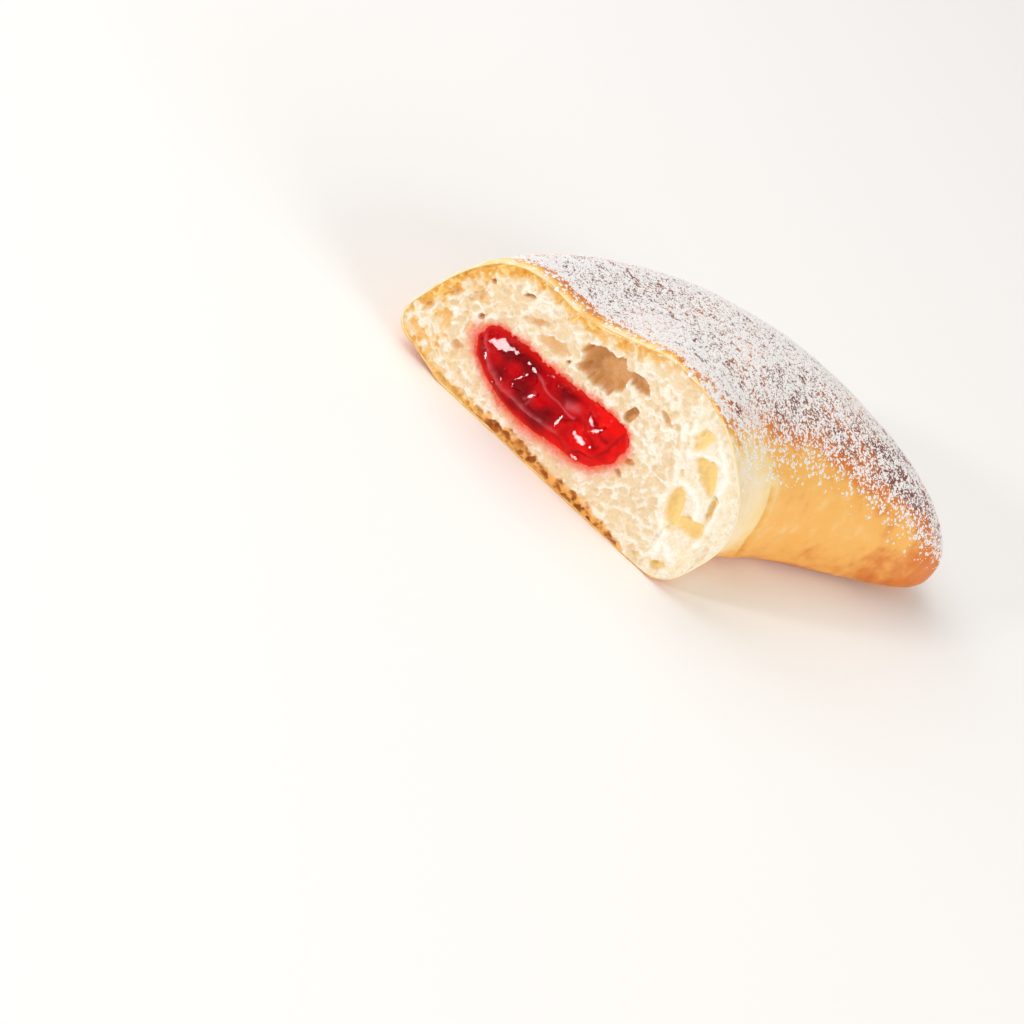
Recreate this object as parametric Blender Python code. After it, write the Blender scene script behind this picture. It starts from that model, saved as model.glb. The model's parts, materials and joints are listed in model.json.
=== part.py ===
"""Half of a crescent-shaped yeast bun, cut across the middle, with a jam filling.

The bun lies on its flat baked base. The cut faces -Y, and the body runs back from it and
bends to +X, ending in a blunt tip. The origin is under the middle of the half's box.
"""

import math

import bmesh
import bpy
import numpy as np
from mathutils import Matrix, Vector, noise

MM = 0.001

# Driving dimensions of the half bun.
SPINE_LENGTH = 111.0 * MM
SPINE_BEND = math.radians(78.4)
SPINE_EARLY_BEND = 1.38
CUT_HALF_WIDTH = 38.7 * MM
CUT_HEIGHT = 37.8 * MM

# The loaf-shaped arch of the cut, from the inner bend's base corner over the top to the outer one.
# It is higher towards the inner bend, and sags beside the filling.
CUT_ARCH = [
    (30.6 * MM, 0.0 * MM),
    (34.0 * MM, 2.0 * MM),
    (36.5 * MM, 7.4 * MM),
    (38.3 * MM, 16.2 * MM),
    (36.0 * MM, 24.3 * MM),
    (29.7 * MM, 31.3 * MM),
    (22.1 * MM, 36.3 * MM),
    (13.5 * MM, 38.7 * MM),
    (5.4 * MM, 38.2 * MM),
    (-2.7 * MM, 35.1 * MM),
    (-11.7 * MM, 32.6 * MM),
    (-21.6 * MM, 32.8 * MM),
    (-29.2 * MM, 29.7 * MM),
    (-34.6 * MM, 22.9 * MM),
    (-38.2 * MM, 13.5 * MM),
    (-39.8 * MM, 7.4 * MM),
    (-38.3 * MM, 3.6 * MM),
    (-33.3 * MM, 2.2 * MM),
    (-26.1 * MM, 0.0 * MM),
]

# How the body narrows and lowers from the cut (0) to the tip (1).
WIDTH_TAPER, WIDTH_TAPER_POWER = 0.525, 1.27
HEIGHT_TAPER, HEIGHT_TAPER_POWER = 0.35, 1.53
TIP_BLUNTNESS = 4.7
TIP_HEIGHT_ROUNDING = 0.8
TIP_BASE_BLUNTNESS = 6.0
TIP_POLE_HEIGHT = 0.26
ARCH_BLEND_END = 0.56
OUTER_WAVE = 0.03
INNER_LEAN = 0.07
TIP_DRIFT = -1.0 * MM

# The round arch that the cut's arch turns into along the body.
SIDE_LEVEL = 0.32
SIDE_TUCK = 0.06
HEEL_ROUNDING, HEEL_SHARPNESS = 0.09, 7
ARCH_FULLNESS = 0.85

# The crease where the dough was folded over, on the inner side.
CREASE_DEPTH = 1.0 * MM
CREASE_WIDTH = 0.022
CREASE_START, CREASE_LEAN = 0.06, 0.16
CREASE_LOW, CREASE_HIGH = 0.0, 0.38
CRUST_WAVE, CRUST_WAVE_SIZE = 0.5 * MM, 15.0 * MM
RELIEF_CLEAR_OF_CUT, RELIEF_CLEAR_OF_TIP = 0.08, 0.2
RELIEF_CLEAR_OF_BASE = 7.0 * MM

# The crumb that shows at the cut.
CRUMB_RELIEF, CRUMB_RELIEF_SIZE = 0.6 * MM, 6.3 * MM
CRUMB_RELIEF_MARGIN = 0.25
# Each bubble: x and z of its middle, half its width and height, its depth and its turn in degrees.
CRUMB_BUBBLES = {
    "large": (-2.0 * MM, 26.5 * MM, 5.0 * MM, 4.1 * MM, 6.3 * MM, 8),
    "beside": (6.3 * MM, 29.9 * MM, 2.2 * MM, 1.4 * MM, 3.6 * MM, -30),
    "mid": (8.6 * MM, 23.8 * MM, 1.4 * MM, 1.0 * MM, 2.2 * MM, 35),
    "fold_top": (21.8 * MM, 29.3 * MM, 2.8 * MM, 1.5 * MM, 3.1 * MM, 62),
    "fold_mid": (27.2 * MM, 24.1 * MM, 3.5 * MM, 1.4 * MM, 4.0 * MM, 140),
    "fold_low": (26.6 * MM, 15.5 * MM, 4.1 * MM, 1.5 * MM, 4.0 * MM, 108),
    "fold_end": (31.1 * MM, 15.7 * MM, 2.1 * MM, 1.7 * MM, 4.0 * MM, 20),
    "heel": (31.1 * MM, 4.9 * MM, 1.4 * MM, 1.1 * MM, 2.2 * MM, 10),
    "crown": (-21.1 * MM, 27.5 * MM, 1.7 * MM, 0.7 * MM, 1.8 * MM, 28),
    "outer": (-26.5 * MM, 8.8 * MM, 1.4 * MM, 1.0 * MM, 2.0 * MM, 30),
}

# The jam core: its section at the cut, and how far it follows the body.
JAM_X, JAM_Z = -6.1 * MM, 13.8 * MM
JAM_HALF_WIDTH, JAM_HALF_HEIGHT = 18.0 * MM, 6.8 * MM
JAM_SQUARENESS = 2.5
JAM_INNER_THICKER = 0.14
JAM_END = 0.74
JAM_BULGE = 1.4 * MM
JAM_LUMP, JAM_LUMP_SIZE = 0.5 * MM, 7.2 * MM
JAM_GAP = 0.3 * MM
POCKET_REACH = 5.4 * MM

# How finely the surfaces are divided.
BODY_RINGS, ARCH_POINTS, BASE_POINTS = 28, 53, 11
FACE_RINGS = 9
JAM_RINGS, JAM_POINTS, JAM_FACE_RINGS = 14, 32, 4
SPLINE_STEPS = 24

CRUST_COLOUR = (0.72, 0.36, 0.11, 1.0)
JAM_COLOUR = (0.55, 0.01, 0.02, 1.0)


def smoothstep(value):
    value = min(1.0, max(0.0, value))
    return value * value * (3 - 2 * value)


def evenly_spaced(points, count):
    """count points at equal distances along the line through points."""
    steps = np.hypot(*np.diff(points, axis=0).T)
    along = np.concatenate([[0], np.cumsum(steps)])
    wanted = np.linspace(0, along[-1], count)
    return np.stack([np.interp(wanted, along, points[:, axis]) for axis in (0, 1)], 1)


def smooth_arch(corners, count):
    """A Catmull-Rom curve through the corners, evenly divided."""
    known = np.array(corners)
    known = np.vstack([2 * known[0] - known[1], known, 2 * known[-1] - known[-2]])
    u = np.linspace(0, 1, SPLINE_STEPS, endpoint=False)[:, None]
    spans = []
    for a, b, c, d in zip(known, known[1:], known[2:], known[3:]):
        curve = 2 * b + (c - a) * u + (2 * a - 5 * b + 4 * c - d) * u**2 + (3 * b - a - 3 * c + d) * u**3
        spans.append(curve / 2)
    return evenly_spaced(np.vstack(spans + [known[-2:-1]]), count)


def round_arch(count):
    """The arch of a round loaf, 1 wide each way and 1 high, tucked in below its widest level."""
    rise = np.linspace(0, 1, 24, endpoint=False)
    heel = HEEL_ROUNDING * (1 - rise) ** HEEL_SHARPNESS
    side = np.stack([1 - SIDE_TUCK * (1 - rise) ** 2 - heel, SIDE_LEVEL * rise], 1)
    angle = np.linspace(0, math.pi, 60)
    across = np.sign(np.cos(angle)) * np.abs(np.cos(angle)) ** ARCH_FULLNESS
    height = SIDE_LEVEL + (1 - SIDE_LEVEL) * np.sin(angle) ** ARCH_FULLNESS
    top = np.stack([across, height], 1)
    return evenly_spaced(np.vstack([side, top, side[::-1] * [-1, 1]]), count)


class Spine:
    """The middle line of the body in plan. It leaves the cut along +Y and bends to +X."""

    def __init__(self, steps=400):
        self.share = np.linspace(0, 1, steps)
        self.heading = SPINE_BEND * (1 - (1 - self.share) ** SPINE_EARLY_BEND)
        step = SPINE_LENGTH / (steps - 1)
        self.x = np.concatenate([[0], np.cumsum(np.sin(self.heading[:-1]) * step)])
        self.y = np.concatenate([[0], np.cumsum(np.cos(self.heading[:-1]) * step)])

    def place(self, share, across, height):
        """The point at that share of the length, that far to the inner side, and that high."""
        x, y, turn = (np.interp(share, self.share, line) for line in (self.x, self.y, self.heading))
        return Vector((x + across * math.cos(turn), y - across * math.sin(turn), height))


def narrowing(share):
    """(width, height, rounding above the pole, rounding below it) at that share of the length."""
    closing = math.sqrt(max(0.0, 1 - share**TIP_BLUNTNESS))
    width = (1 - WIDTH_TAPER * share**WIDTH_TAPER_POWER) * closing
    height = 1 - HEIGHT_TAPER * share**HEIGHT_TAPER_POWER
    base = math.sqrt(max(0.0, 1 - share**TIP_BASE_BLUNTNESS))
    return width, height, closing**TIP_HEIGHT_ROUNDING, base


def body_section(share, cut_arch, loaf_arch):
    """The closed section at that share of the length, as (across, height) points."""
    blend = smoothstep(share / ARCH_BLEND_END)
    width, height, round_top, round_base = narrowing(share)
    arch = cut_arch * (1 - blend) + loaf_arch * blend
    floor = np.linspace(arch[-1], arch[0], BASE_POINTS + 2)[1:-1]
    section = np.vstack([arch, floor])
    section[:, 1] *= (1 + INNER_LEAN * blend * section[:, 0]) * CUT_HEIGHT * height
    pole = TIP_POLE_HEIGHT * CUT_HEIGHT * height
    rounding = np.where(section[:, 1] > pole, round_top, round_base)
    section[:, 1] = pole + (section[:, 1] - pole) * rounding
    swell = 1 - OUTER_WAVE * math.sin(3 * math.pi * share) * (section[:, 0] < 0)
    section[:, 0] = section[:, 0] * swell * CUT_HALF_WIDTH * width + TIP_DRIFT * share**2
    return section


def crease_depth(share, around):
    """How deep the fold's crease is, at a share of the length and of the way round the arch."""
    if not CREASE_LOW < around < CREASE_HIGH:
        return 0.0
    climb = (around - CREASE_LOW) / (CREASE_HIGH - CREASE_LOW)
    middle = CREASE_START + CREASE_LEAN * climb
    across_it = math.exp(-(((share - middle) / CREASE_WIDTH) ** 2))
    return CREASE_DEPTH * across_it * math.sin(math.pi * climb) ** 2


def with_relief(section, share, spine):
    """The section with the crust's soft waves and crease, which fade out at the cut and the base."""
    fade = smoothstep(share / RELIEF_CLEAR_OF_CUT) * smoothstep((1 - share) / RELIEF_CLEAR_OF_TIP)
    for i in range(1, ARCH_POINTS - 1):
        across, height = section[i]
        wave = noise.noise(spine.place(share, across, height) / CRUST_WAVE_SIZE)
        low_fade = smoothstep(height / RELIEF_CLEAR_OF_BASE)
        outward = CRUST_WAVE * wave * fade * low_fade - crease_depth(share, i / (ARCH_POINTS - 1))
        away = Vector((across, height - CUT_HEIGHT / 4)).normalized()
        section[i] += np.array(away * outward)
    return section


def add_rings(bm, rings):
    """Joins closed rings of points with faces, and returns their vertices."""
    made = [[bm.verts.new(point) for point in ring] for ring in rings]
    for low, high in zip(made, made[1:]):
        count = len(low)
        for i in range(count):
            j = (i + 1) % count
            bm.faces.new((low[i], low[j], high[j], high[i]))
    return made


def close_with_point(bm, ring, point):
    """Closes a ring of vertices with triangles to one point."""
    pole = bm.verts.new(point)
    for a, b in zip(ring, ring[1:] + ring[:1]):
        bm.faces.new((a, b, pole))


def mesh_object(name, bm, collection):
    mesh = bpy.data.meshes.new(name)
    bm.to_mesh(mesh)
    bm.free()
    made = bpy.data.objects.new(name, mesh)
    collection.objects.link(made)
    return made


def crumb_point(edge, centre, share):
    """A point of the cut face, that share of the way from its centre to its edge."""
    point = centre.lerp(edge, share)
    fade = smoothstep((1 - share) / CRUMB_RELIEF_MARGIN)
    return point + Vector((0, CRUMB_RELIEF * noise.noise(point / CRUMB_RELIEF_SIZE) * fade, 0))


def bread(spine, collection):
    """The half bun as one solid: crust, crumb and base."""
    cut_arch = smooth_arch(CUT_ARCH, ARCH_POINTS) / [CUT_HALF_WIDTH, CUT_HEIGHT]
    loaf_arch = round_arch(ARCH_POINTS)
    shares = np.sin(np.linspace(0, 1, BODY_RINGS + 1)[:-1] * math.pi / 2)
    rings = []
    for share in shares:
        section = with_relief(body_section(share, cut_arch, loaf_arch), share, spine)
        rings.append([spine.place(share, across, height) for across, height in section])
    centre = Vector((0, 0, CUT_HEIGHT / 2))
    face = []
    for k in range(1, FACE_RINGS):
        face.append([crumb_point(edge, centre, k / FACE_RINGS) for edge in rings[0]])
    bm = bmesh.new()
    made = add_rings(bm, face + rings)
    close_with_point(bm, made[0][::-1], crumb_point(centre, centre, 0))
    tip = spine.place(1.0, TIP_DRIFT, TIP_POLE_HEIGHT * CUT_HEIGHT * (1 - HEIGHT_TAPER))
    close_with_point(bm, made[-1], tip)
    bmesh.ops.recalc_face_normals(bm, faces=bm.faces)
    return mesh_object("bread_half", bm, collection)


def jam_section(share, grow):
    """The jam's section at a share of the body's length, enlarged all round by grow."""
    width, height, _, _ = narrowing(share)
    end = share / JAM_END
    closing = math.sqrt(max(0.0, 1 - max(0.0, end) ** 4))
    angle = np.linspace(0, 2 * math.pi, JAM_POINTS, endpoint=False)
    power = 2 / JAM_SQUARENESS
    across = np.sign(np.cos(angle)) * np.abs(np.cos(angle)) ** power
    up = np.sign(np.sin(angle)) * np.abs(np.sin(angle)) ** power * (1 + JAM_INNER_THICKER * across)
    half_width = JAM_HALF_WIDTH * width * closing + grow
    half_height = JAM_HALF_HEIGHT * height * closing + grow
    middle = JAM_X * (1 - smoothstep(end))
    level = JAM_Z * height
    return np.stack([middle + across * half_width, level + up * half_height], 1)


def jam_rings(spine, grow):
    """The jam core's sections along the body, as rings of points."""
    rings = []
    for share in JAM_END * np.sin(np.linspace(0, 1, JAM_RINGS + 1)[:-1] * math.pi / 2):
        rings.append([spine.place(share, across, height) for across, height in jam_section(share, grow)])
    return rings


def jam_object(name, front, nose, rings, end, collection):
    """A closed solid through the front rings and the core's rings, closed by a nose and an end point."""
    bm = bmesh.new()
    made = add_rings(bm, front + rings)
    close_with_point(bm, made[0][::-1], nose)
    close_with_point(bm, made[-1], end)
    bmesh.ops.recalc_face_normals(bm, faces=bm.faces)
    return mesh_object(name, bm, collection)


def jam_end(spine, grow):
    return spine.place(JAM_END + grow / SPINE_LENGTH, 0, JAM_Z * narrowing(JAM_END)[1])


def jam(spine, collection):
    """The jam core. It swells a little out of the cut, in soft lumps."""
    rings = jam_rings(spine, 0.0)
    middle = Vector((JAM_X, 0, JAM_Z))
    front = []
    for k in range(1, JAM_FACE_RINGS + 1):
        angle = k / (JAM_FACE_RINGS + 1) * math.pi / 2
        swell = JAM_BULGE * math.cos(angle)
        ring = []
        for edge in rings[0]:
            point = middle.lerp(edge, math.sin(angle))
            lump = JAM_LUMP * noise.noise(point / JAM_LUMP_SIZE)
            ring.append(point + Vector((0, lump - swell, 0)))
        front.append(ring)
    nose = middle + Vector((0, -JAM_BULGE, 0))
    return jam_object("jam_filling", front, nose, rings, jam_end(spine, 0.0), collection)


def jam_pocket(spine, collection):
    """The cutter that clears the jam's room in the bread, with a gap all round, through the cut."""
    rings = jam_rings(spine, JAM_GAP)
    reach = Vector((0, -POCKET_REACH, 0))
    front = [[point + reach for point in rings[0]]]
    nose = Vector((JAM_X, -POCKET_REACH, JAM_Z))
    jam_object("jam_pocket", front, nose, rings, jam_end(spine, JAM_GAP), collection)


def bubble_cutter(name, x, z, half_width, half_height, depth, turn, collection):
    """An egg-shaped hollow in the cut face, open to the front."""
    bm = bmesh.new()
    bmesh.ops.create_icosphere(bm, subdivisions=2, radius=1.0)
    size = Matrix.Diagonal((half_width, depth, half_height, 1))
    bm.transform(Matrix.Rotation(-math.radians(turn), 4, "Y") @ size)
    made = mesh_object("bubble_" + name, bm, collection)
    made.location = (x, 0, z)
    return made


def as_cutters(collection):
    for cutter in collection.objects:
        cutter.hide_render = True
        cutter.display_type = "WIRE"


def cut_away(target, cutters):
    modifier = target.modifiers.new("hollows", "BOOLEAN")
    modifier.operation = "DIFFERENCE"
    modifier.operand_type = "COLLECTION"
    modifier.collection = cutters
    modifier.solver = "EXACT"


def finish(made, name, colour, roughness):
    material = bpy.data.materials.new(name)
    material.use_nodes = True
    shader = material.node_tree.nodes["Principled BSDF"]
    shader.inputs["Base Color"].default_value = colour
    shader.inputs["Roughness"].default_value = roughness
    shader.inputs["Metallic"].default_value = 0.0
    made.data.materials.append(material)
    made.data.shade_smooth()


def centre_on_base(solids, cutters):
    """Moves everything so that the origin lies under the middle of the solids' box."""
    points = [vertex.co for solid in solids for vertex in solid.data.vertices]
    middle = [(min(p[axis] for p in points) + max(p[axis] for p in points)) / 2 for axis in (0, 1)]
    for item in [*solids, *cutters]:
        item.location -= Vector((middle[0], middle[1], 0))


def main():
    for item in list(bpy.data.objects):
        bpy.data.objects.remove(item)
    part = bpy.data.collections.new("jam_bun_half")
    cutters = bpy.data.collections.new("cutters")
    for collection in (part, cutters):
        bpy.context.scene.collection.children.link(collection)

    spine = Spine()
    half = bread(spine, part)
    filling = jam(spine, part)
    jam_pocket(spine, cutters)
    for name, (x, z, half_width, half_height, depth, turn) in CRUMB_BUBBLES.items():
        bubble_cutter(name, x, z, half_width, half_height, depth, turn, cutters)
    as_cutters(cutters)
    cut_away(half, cutters)
    centre_on_base([half, filling], cutters.objects)
    finish(half, "baked_yeast_dough", CRUST_COLOUR, 0.6)
    finish(filling, "red_jam", JAM_COLOUR, 0.12)


main()
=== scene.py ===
"""Half of a jam-filled yeast bun, dusted with icing sugar, on a plain pale table.

Lengths are in metres in the scene. A name that ends in _mm holds millimetres.
"""

import json
import math

import bmesh
import bpy
import numpy as np
from mathutils import Matrix, Vector
from mathutils.geometry import delaunay_2d_cdt
from mathutils.kdtree import KDTree

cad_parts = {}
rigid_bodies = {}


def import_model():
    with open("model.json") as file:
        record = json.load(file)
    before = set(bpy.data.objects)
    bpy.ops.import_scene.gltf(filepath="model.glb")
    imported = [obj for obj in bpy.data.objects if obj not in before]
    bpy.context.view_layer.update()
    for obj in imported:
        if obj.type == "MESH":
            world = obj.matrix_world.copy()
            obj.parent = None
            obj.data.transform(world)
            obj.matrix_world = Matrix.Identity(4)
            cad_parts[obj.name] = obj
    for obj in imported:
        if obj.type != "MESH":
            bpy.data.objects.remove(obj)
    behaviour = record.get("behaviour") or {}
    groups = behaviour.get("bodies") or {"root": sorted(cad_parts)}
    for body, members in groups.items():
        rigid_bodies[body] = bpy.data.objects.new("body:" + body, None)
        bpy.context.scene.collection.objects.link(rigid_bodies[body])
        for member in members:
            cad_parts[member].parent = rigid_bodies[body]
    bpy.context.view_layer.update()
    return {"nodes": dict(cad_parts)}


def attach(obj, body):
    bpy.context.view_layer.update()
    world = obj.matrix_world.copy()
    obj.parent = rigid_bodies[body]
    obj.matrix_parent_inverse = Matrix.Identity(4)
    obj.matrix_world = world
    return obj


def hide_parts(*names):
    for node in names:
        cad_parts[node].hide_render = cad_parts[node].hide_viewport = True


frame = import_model()
MM = 0.001

# ---- Camera, table and light ----------------------------------------------------------------
# The bun lies on a plain pale table. It is seen from above and in front of the cut, with the
# camera rolled so that the crescent runs down to the right. The light is soft and high.

AZIMUTH, ELEVATION, ROLL = (math.radians(angle) for angle in (6.790, 31.258, 39.689))
CAMERA_PLACE = Vector((0.037321, -0.471733, 0.253209))
LENS_MM, SENSOR_MM = 90.0, 36.0
TABLE_SIZE = 8.0

backward = Vector((math.sin(AZIMUTH) * math.cos(ELEVATION), -math.cos(AZIMUTH) * math.cos(ELEVATION),
                   math.sin(ELEVATION)))
level = Vector((math.cos(AZIMUTH), math.sin(AZIMUTH), 0))
upright = backward.cross(level)
sideways = level * math.cos(ROLL) + upright * math.sin(ROLL)
upward = upright * math.cos(ROLL) - level * math.sin(ROLL)

bpy.ops.object.camera_add()
camera = bpy.context.object
camera.matrix_world = Matrix.Translation(CAMERA_PLACE) @ Matrix(
    (sideways, upward, backward)).transposed().to_4x4()
camera.data.lens = LENS_MM
camera.data.sensor_width = SENSOR_MM
camera.data.clip_start = 0.01
bpy.context.scene.camera = camera


def linear(colour):
    """A hex colour as the linear numbers that Blender uses."""
    channels = [int(colour[i:i + 2], 16) / 255 for i in (1, 3, 5)]
    return tuple(c / 12.92 if c <= 0.04045 else ((c + 0.055) / 1.055) ** 2.4 for c in channels) + (1.0,)


def add_node(tree, kind, settings, sockets):
    """Adds a node with its settings, and gives each socket a value or links it to an output."""
    node = tree.nodes.new("ShaderNode" + kind)
    for name, value in settings.items():
        setattr(node, name, value)
    for name, value in sockets.items():
        if isinstance(value, bpy.types.NodeSocket):
            tree.links.new(value, node.inputs[name])
        else:
            node.inputs[name].default_value = value
    return node.outputs


def add_noise(tree, where, scale, detail, **more):
    """Noise with this many waves to the metre."""
    return add_node(tree, "TexNoise", {}, {"Vector": where, "Scale": scale, "Detail": detail, **more})["Fac"]


def add_maths(tree, operation, *values):
    """The result of a sum on outputs and numbers."""
    return add_node(tree, "Math", {"operation": operation}, dict(enumerate(values)))[0]


def add_mix(tree, factor, first, second):
    """A colour between two others."""
    return add_node(tree, "Mix", {"data_type": "RGBA"}, {"Factor": factor, 6: first, 7: second})[2]


def new_material(name):
    """A material with its Principled shader, and its node tree."""
    material = bpy.data.materials.new(name)
    material.use_nodes = True
    return material, material.node_tree, material.node_tree.nodes["Principled BSDF"]


bpy.ops.object.select_all(action="DESELECT")
bpy.ops.mesh.primitive_plane_add(size=TABLE_SIZE, location=(0, 0, 0))
table = bpy.context.object
table.name = "table"
# Matt white laminate, with a trace of unevenness.
laminate, tree, shader = new_material("white_laminate")
where = add_node(tree, "TexCoord", {}, {})["Object"]
cloud = add_noise(tree, where, 3.0, 2.0)
tint = add_mix(tree, cloud, linear("#FCFBFA"), linear("#FEFDFC"))
tree.links.new(tint, shader.inputs["Base Color"])
shader.inputs["Roughness"].default_value = 0.9
shader.inputs["Specular IOR Level"].default_value = 0.2
table.data.materials.append(laminate)

# Each light: where it stands from the bun, by the camera's own directions, its distance and
# size in metres, its power in watts and its tint.
LIGHTS = {
    "window": ((-0.56, 0.30, 0.78), 1.1, 0.10, 3.2, "#FFFDFA"),
    "sky": ((-0.10, 1.00, 0.35), 1.5, 1.6, 13.0, "#FFFFFF"),
    "side": ((0.75, -0.50, 0.60), 1.6, 1.0, 10.5, "#FFF9F0"),
}
for name, (toward, distance, size, power, tint) in LIGHTS.items():
    direction = (sideways * toward[0] + upward * toward[1] + backward * toward[2]).normalized()
    bpy.ops.object.light_add(type="AREA", location=direction * distance)
    light = bpy.context.object
    light.name = name + "_light"
    light.rotation_euler = direction.to_track_quat("Z", "Y").to_euler()
    light.data.size = size
    light.data.energy = power
    light.data.color = linear(tint)[:3]
    light.visible_camera = False

world = bpy.data.worlds.new("pale_room")
bpy.context.scene.world = world
world.use_nodes = True
world.node_tree.nodes["Background"].inputs["Color"].default_value = linear("#FDFBF8")
world.node_tree.nodes["Background"].inputs["Strength"].default_value = 0.48
bpy.context.scene.view_settings.view_transform = "Standard"

# ---- Crust ----------------------------------------------------------------------------------
# The thin baked skin of the enriched dough, closed under the bun and open at the cut. It is
# glazed with egg: brown on top and towards the tip, pale gold down the inner side.

CRUST_THICKNESS = 0.36 * MM
CRUST_LEVELS = 2
SAME_PLACE = 0.02 * MM
bread = frame["nodes"]["bread_half"]
CUT_Y = min(vertex.co.y for vertex in bread.data.vertices if vertex.co.z < SAME_PLACE)
CUT_X = -16.467 * MM
# The line of the fold on the inner side, as (x, y, z) in millimetres.
CREASE_MM = [(20.4, -22.4, 25.5), (20.7, -21.6, 22.9), (22.2, -21.8, 18.6), (23.3, -20.2, 11.3),
             (23.6, -15.8, 3.3)]


def only_active(piece):
    bpy.ops.object.select_all(action="DESELECT")
    piece.select_set(True)
    bpy.context.view_layer.objects.active = piece


def finish_modifiers(piece):
    only_active(piece)
    for modifier in list(piece.modifiers):
        bpy.ops.object.modifier_apply(modifier=modifier.name)


def subdivide(piece, levels):
    if levels:
        finer = piece.modifiers.new("finer", "SUBSURF")
        finer.levels = finer.render_levels = levels
        finish_modifiers(piece)


def skin_behind_cut(node_name, name, levels):
    """A finer copy of a CAD solid's outside, without its cut face, so that it is open at the cut."""
    piece = bpy.data.objects.new(name, frame["nodes"][node_name].data.copy())
    bpy.context.scene.collection.objects.link(piece)
    piece.data.name = name
    piece.data.materials.clear()
    only_active(piece)
    bpy.ops.object.mode_set(mode="EDIT")
    bpy.ops.mesh.select_all(action="SELECT")
    bpy.ops.mesh.remove_doubles(threshold=SAME_PLACE / 10)
    bpy.ops.mesh.select_all(action="DESELECT")
    bpy.ops.object.mode_set(mode="OBJECT")
    mesh = piece.data
    at_cut = [abs(vertex.co.y - CUT_Y) < SAME_PLACE for vertex in mesh.vertices]
    for edge in mesh.edges:
        edge.use_seam = at_cut[edge.vertices[0]] and at_cut[edge.vertices[1]]
    max(mesh.polygons, key=lambda face: face.center.x).select = True
    bpy.ops.object.mode_set(mode="EDIT")
    bpy.ops.mesh.select_mode(type="FACE")
    bpy.ops.mesh.select_linked(delimit={"SEAM"})
    bpy.ops.mesh.select_all(action="INVERT")
    bpy.ops.mesh.delete(type="FACE")
    bpy.ops.mesh.select_all(action="SELECT")
    bpy.ops.mesh.tris_convert_to_quads(face_threshold=math.radians(50), shape_threshold=math.pi)
    bpy.ops.object.mode_set(mode="OBJECT")
    subdivide(piece, levels)
    return piece


def read_points(mesh, what="co"):
    """The places or normals of a mesh's vertices, as rows of three numbers."""
    values = np.empty(len(mesh.vertices) * 3, np.float32)
    mesh.vertices.foreach_get(what, values)
    return values.reshape(-1, 3).astype(float)


def write_points(mesh, points):
    mesh.vertices.foreach_set("co", np.ascontiguousarray(points, np.float32).ravel())
    mesh.update()


def write_mask(mesh, name, values):
    """Stores a number for each vertex, for the material to read."""
    mask = mesh.attributes.new(name, "FLOAT", "POINT")
    mask.data.foreach_set("value", np.ascontiguousarray(values, np.float32))


def smooth_step(values, low, high):
    share = np.clip((values - low) / (high - low), 0, 1)
    return share * share * (3 - 2 * share)


# Numbers that scatter the corners of a grid over a table of random heights.
GRID_PRIMES = (73856093, 19349663, 83492791)
HEIGHTS_IN_TABLE = 4096


def waves(points, spacing, seed):
    """Smooth seeded waves from -1 to 1 at rows of two or three numbers, that far apart."""
    draw = np.random.default_rng(seed)
    heights = draw.uniform(-1, 1, HEIGHTS_IN_TABLE)
    turned, _ = np.linalg.qr(draw.normal(size=(points.shape[1],) * 2))
    place = points @ turned / spacing
    corner = np.floor(place).astype(np.int64)
    share = place - corner
    share = share * share * (3 - 2 * share)
    total = np.zeros(len(points))
    for step in np.ndindex(*[2] * points.shape[1]):
        hashed = np.zeros(len(points), np.int64)
        weight = np.ones(len(points))
        for axis, (one, prime) in enumerate(zip(step, GRID_PRIMES)):
            hashed ^= (corner[:, axis] + one) * prime
            weight *= share[:, axis] if one else 1 - share[:, axis]
        total += heights[hashed % HEIGHTS_IN_TABLE] * weight
    return total


def mixed_waves(points, *terms):
    """The sum of several waves, each given by its height, spacing and seed."""
    return sum(height * waves(points, spacing, seed) for height, spacing, seed in terms)


def away_from_line(points, line):
    """How far each point is from a line through the given corners."""
    nearest = np.full(len(points), np.inf)
    corners = np.array(line, float)
    for start, end in zip(corners, corners[1:]):
        run = end - start
        share = np.clip((points - start) @ run / (run @ run), 0, 1)
        nearest = np.minimum(nearest, np.linalg.norm(points - start - share[:, None] * run, axis=1))
    return nearest


crust = skin_behind_cut("bread_half", "crust", CRUST_LEVELS)


def crust_relief(points, outward):
    """How far the baked skin stands out: soft waves, upright wrinkles, the fold and the lip."""
    behind_mm = (points[:, 1] - CUT_Y) / MM
    relief_mm = mixed_waves(points, (0.16, 9 * MM, 1), (0.07, 3.6 * MM, 2), (0.03, 1.5 * MM, 3))
    on_side = smooth_step(1 - np.abs(outward[:, 2]), 0.2, 0.6)
    wrinkles = 0.6 * waves(points * [1, 1, 0.2], 5 * MM, 4) + 0.4 * waves(points * [1, 1, 0.3], 2.4 * MM, 10)
    relief_mm += 0.40 * on_side * wrinkles
    # The fold is a narrow crease with a soft ridge along each side.
    from_crease_mm = away_from_line(points / MM, CREASE_MM)
    relief_mm -= 0.85 * np.exp(-(from_crease_mm / 0.5) ** 2)
    relief_mm += 0.30 * np.exp(-((from_crease_mm - 1.4) / 0.8) ** 2)
    # The crust puffs up just behind the cut, over the outer part of the top.
    lip = np.exp(-((behind_mm - 2.4) / 1.3) ** 2) * smooth_step(outward[:, 2], 0.0, 0.5)
    lip *= smooth_step(-points[:, 0] / MM, -1, 9) * (0.75 + 0.5 * waves(points, 3.0 * MM, 16))
    relief_mm += 0.75 * lip
    relief_mm *= smooth_step(behind_mm, 0, 2.5) * smooth_step(points[:, 2] / MM, 0.2, 3.0)
    return relief_mm * MM


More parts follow.
